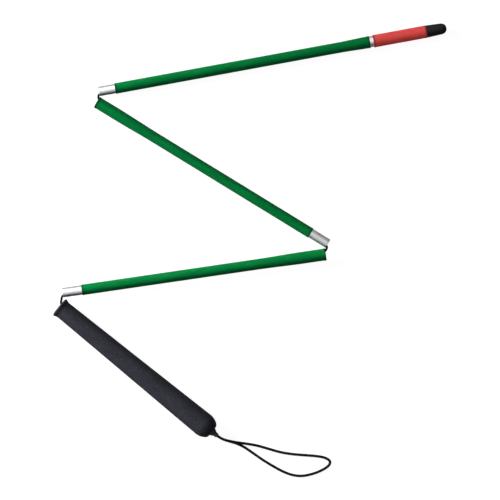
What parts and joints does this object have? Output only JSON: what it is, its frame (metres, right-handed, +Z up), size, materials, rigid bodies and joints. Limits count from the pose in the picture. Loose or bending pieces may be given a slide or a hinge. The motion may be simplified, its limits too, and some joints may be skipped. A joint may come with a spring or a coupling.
{
  "type": "folding blind cane",
  "caption": "Folding cane of shock-corded tube sections with a black grip and wrist loop, green sleeves, a red band and a black pencil tip, lying half folded.",
  "frame": {"origin": "on the floor under the middle of the box round the half-folded cane, without the wrist cord", "axes": "+Z up from the floor the cane lies on; the cane zigzags in the XY plane, its tip section running nearly along +X and its grip towards +X and -Y"},
  "size_m": [0.48, 0.5543, 0.0296],
  "materials": {
    "grip_rubber": "soft matte black foam rubber",
    "bare_alloy": "satin drawn tube",
    "grommet_rubber": "matte black",
    "wrist_cord": "black braided cord",
    "elastic_cord": "black braided elastic",
    "white_nylon": "moulded nylon",
    "zinc_steel": "zinc plated",
    "green_sleeve": "satin green shrink sleeve",
    "red_sleeve": "satin red shrink sleeve",
    "tip_nylon": "smooth black nylon"
  },
  "bodies": {
    "handle": {"grip": "grip_rubber", "handle_tube": "bare_alloy", "cord_grommet": "grommet_rubber", "wrist_cord": "wrist_cord", "wrist_knot": "wrist_cord", "handle_plug": "white_nylon", "handle_washer": "zinc_steel", "handle_knot": "elastic_cord", "elastic_handle": "elastic_cord"},
    "link_a": {"elastic_bend_a": "elastic_cord"},
    "section_2": {"tube_2": "bare_alloy", "sleeve_2": "green_sleeve", "elastic_2": "elastic_cord"},
    "link_b": {"elastic_bend_b": "elastic_cord"},
    "section_3": {"tube_3": "bare_alloy", "sleeve_3": "green_sleeve", "elastic_3": "elastic_cord"},
    "link_c": {"elastic_bend_c": "elastic_cord"},
    "section_4": {"tube_4": "bare_alloy", "sleeve_4": "green_sleeve", "red_band": "red_sleeve", "elastic_4": "elastic_cord", "tip_plug": "white_nylon", "tip_washer": "zinc_steel", "tip_knot": "elastic_cord", "tip": "tip_nylon"}
  },
  "joints": [
    {"name": "push_home_a", "type": "slide", "parent": "handle", "child": "link_a", "axis": [0.775, -0.632, 0.0055], "range_m": [0, 0.0237], "deforming": ["elastic_handle"]},
    {"name": "fold_a", "type": "hinge", "parent": "link_a", "child": "section_2", "pos_m": [-0.22709, -0.08522, 0.01342], "axis": [0.0034, 0.013, 0.9999], "range_deg": [-45.5, 132.5], "deforming": ["elastic_bend_a"]},
    {"name": "push_home_b", "type": "slide", "parent": "section_2", "child": "link_b", "axis": [-0.9895, -0.1443, 0.0053], "range_m": [0, 0.0247], "deforming": ["elastic_2"]},
    {"name": "fold_b", "type": "hinge", "parent": "link_b", "child": "section_3", "pos_m": [0.09163, -0.02206, 0.01151], "axis": [-0.0034, -0.013, -0.9999], "range_deg": [-38.8, 140.2], "deforming": ["elastic_bend_b"]},
    {"name": "push_home_c", "type": "slide", "parent": "section_3", "child": "link_c", "axis": [0.8526, -0.5225, 0.0039], "range_m": [0, 0.0202], "deforming": ["elastic_3"]},
    {"name": "fold_c", "type": "hinge", "parent": "link_c", "child": "section_4", "pos_m": [-0.18328, 0.16281, 0.01005], "axis": [0.0034, 0.013, 0.9999], "range_deg": [-40.9, 138.1], "deforming": ["elastic_bend_c"]}
  ]
}
